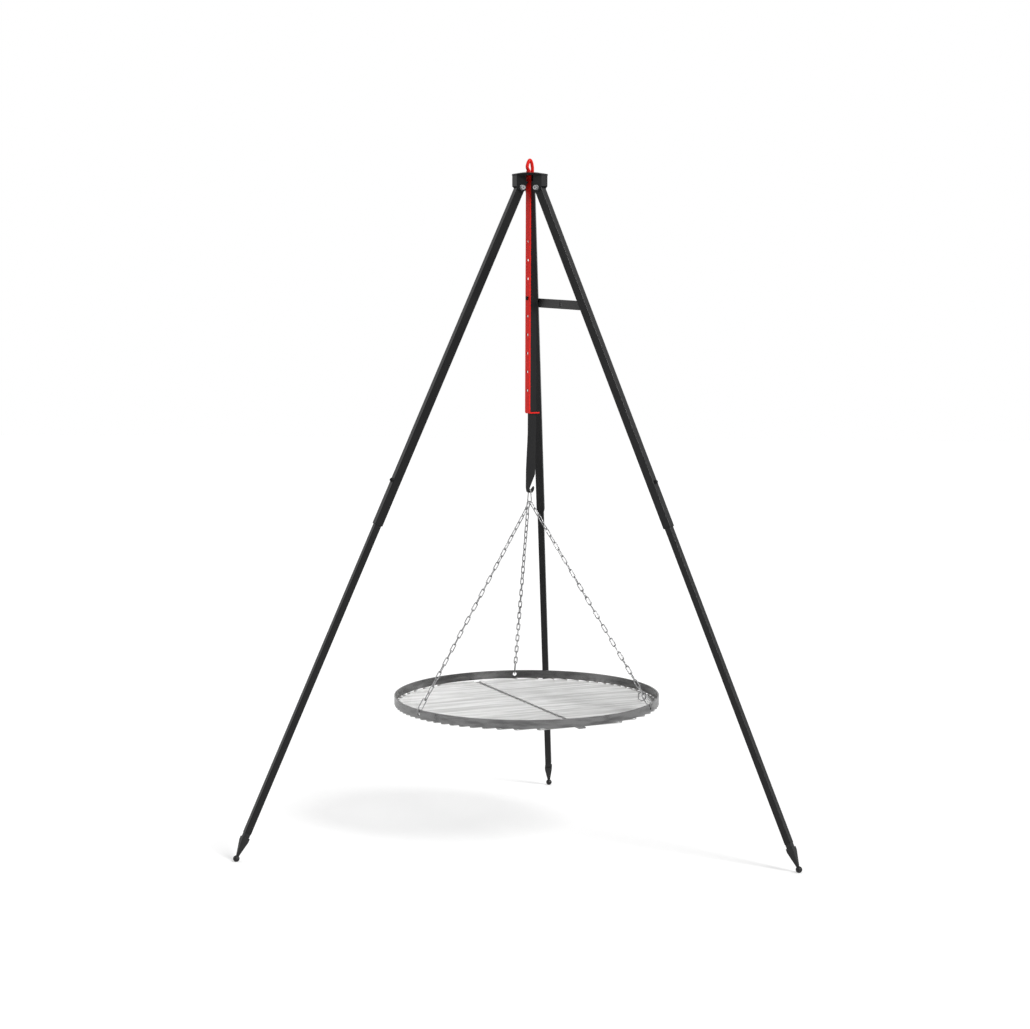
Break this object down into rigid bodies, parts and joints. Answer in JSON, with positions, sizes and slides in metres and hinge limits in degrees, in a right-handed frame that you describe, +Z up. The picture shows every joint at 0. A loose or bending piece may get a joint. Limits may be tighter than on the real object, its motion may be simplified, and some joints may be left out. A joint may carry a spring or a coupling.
{
  "type": "campfire tripod with hanging grill grate",
  "caption": "Black telescopic steel tripod with a red hanger rail, hook plate and a round steel grill grate on chains.",
  "frame": {"origin": "on the ground under the tripod's vertical axis", "axes": "+Z up, +Y from the axis towards the back leg, +X to the right seen from the front"},
  "size_m": [1.6343, 1.4179, 2.0445],
  "materials": {
    "black_paint": "semi-gloss",
    "red_paint": "gloss",
    "zinc": "satin",
    "black_plastic": "satin",
    "bright_steel": "satin",
    "chain_steel": "satin",
    "grate_steel": "satin"
  },
  "bodies": {
    "head": {"head_cap": "black_paint", "leg_bracket_left": "black_paint", "leg_bracket_right": "black_paint", "leg_bracket_back": "black_paint", "pivot_bolts": "zinc", "pivot_washers": "zinc", "pivot_nuts": "zinc", "hanger_rail": "red_paint"},
    "left_upper": {"upper_leg_left": "black_paint", "top_plug_left": "black_plastic", "lock_boss_left": "black_paint"},
    "left_lower": {"lower_leg_left": "black_paint", "foot_left": "black_plastic"},
    "left_lock": {"lock_screw_left": "black_paint"},
    "right_upper": {"upper_leg_right": "black_paint", "top_plug_right": "black_plastic", "lock_boss_right": "black_paint", "stay_rest_stud": "zinc"},
    "right_lower": {"lower_leg_right": "black_paint", "foot_right": "black_plastic"},
    "right_lock": {"lock_screw_right": "black_paint"},
    "back_upper": {"upper_leg_back": "black_paint", "top_plug_back": "black_plastic", "lock_boss_back": "black_paint", "stay_pivot_stud": "zinc", "stay_nut": "zinc"},
    "back_lower": {"lower_leg_back": "black_paint", "foot_back": "black_plastic"},
    "back_lock": {"lock_screw_back": "black_paint"},
    "stay": {"cross_stay": "black_paint"},
    "hook": {"hook_plate": "black_paint"},
    "ring": {"top_ring": "bright_steel"},
    "grate": {"chain_left": "chain_steel", "chain_right": "chain_steel", "chain_back": "chain_steel", "end_link_left": "chain_steel", "end_link_right": "chain_steel", "end_link_back": "chain_steel", "quick_link": "chain_steel", "grate_ring": "grate_steel", "grate_rods_left": "bright_steel", "grate_rods_right": "bright_steel", "grate_cross_bar": "bright_steel"}
  },
  "joints": [
    {"name": "left_leg_fold", "type": "hinge", "parent": "head", "child": "left_upper", "pos_m": [-0.02944, -0.017, 1.957], "axis": [0.5, -0.866, 0], "range_deg": [0, 7]},
    {"name": "left_leg_telescope", "type": "slide", "parent": "left_upper", "child": "left_lower", "axis": [0.3628, 0.2094, 0.908], "range_m": [0, 0.9]},
    {"name": "left_lock_screw_travel", "type": "slide", "parent": "left_upper", "child": "left_lock", "axis": [-0.7864, -0.454, 0.4189], "range_m": [0, 0.0035]},
    {"name": "right_leg_fold", "type": "hinge", "parent": "head", "child": "right_upper", "pos_m": [0.02944, -0.017, 1.957], "axis": [0.5, 0.866, 0], "range_deg": [0, 7]},
    {"name": "right_leg_telescope", "type": "slide", "parent": "right_upper", "child": "right_lower", "axis": [-0.3628, 0.2094, 0.908], "range_m": [0, 0.9]},
    {"name": "right_lock_screw_travel", "type": "slide", "parent": "right_upper", "child": "right_lock", "axis": [0.7864, -0.454, 0.4189], "range_m": [0, 0.0035]},
    {"name": "back_leg_fold", "type": "hinge", "parent": "head", "child": "back_upper", "pos_m": [0, 0.034, 1.957], "axis": [-1, 0, 0], "range_deg": [0, 7]},
    {"name": "back_leg_telescope", "type": "slide", "parent": "back_upper", "child": "back_lower", "axis": [0, -0.4189, 0.908], "range_m": [0, 0.9]},
    {"name": "back_lock_screw_travel", "type": "slide", "parent": "back_upper", "child": "back_lock", "axis": [0, 0.908, 0.4189], "range_m": [0, 0.0035]},
    {"name": "stay_swing", "type": "hinge", "parent": "back_upper", "child": "stay", "pos_m": [0.0148, 0.19061, 1.6175], "axis": [-1, 0, 0], "range_deg": [0, 70]},
    {"name": "hook_height", "type": "slide", "parent": "head", "child": "hook", "axis": [0, 0, 1], "range_m": [-0.278, 0.0556]},
    {"name": "ring_sway", "type": "hinge", "parent": "hook", "child": "ring", "pos_m": [0.00171, 0.00168, 1.05555], "axis": [0.7145, 0.6997, 0], "range_deg": [-5, 5]},
    {"name": "grate_swing", "type": "hinge", "parent": "ring", "child": "grate", "pos_m": [0.00171, 0.00168, 1.01475], "axis": [0.6997, -0.7145, 0], "range_deg": [-5, 5]}
  ],
  "couplings": [
    {"joint": "right_leg_fold", "follows": "back_leg_fold", "ratio": 1},
    {"joint": "stay_swing", "follows": "back_leg_fold", "ratio": 10}
  ]
}
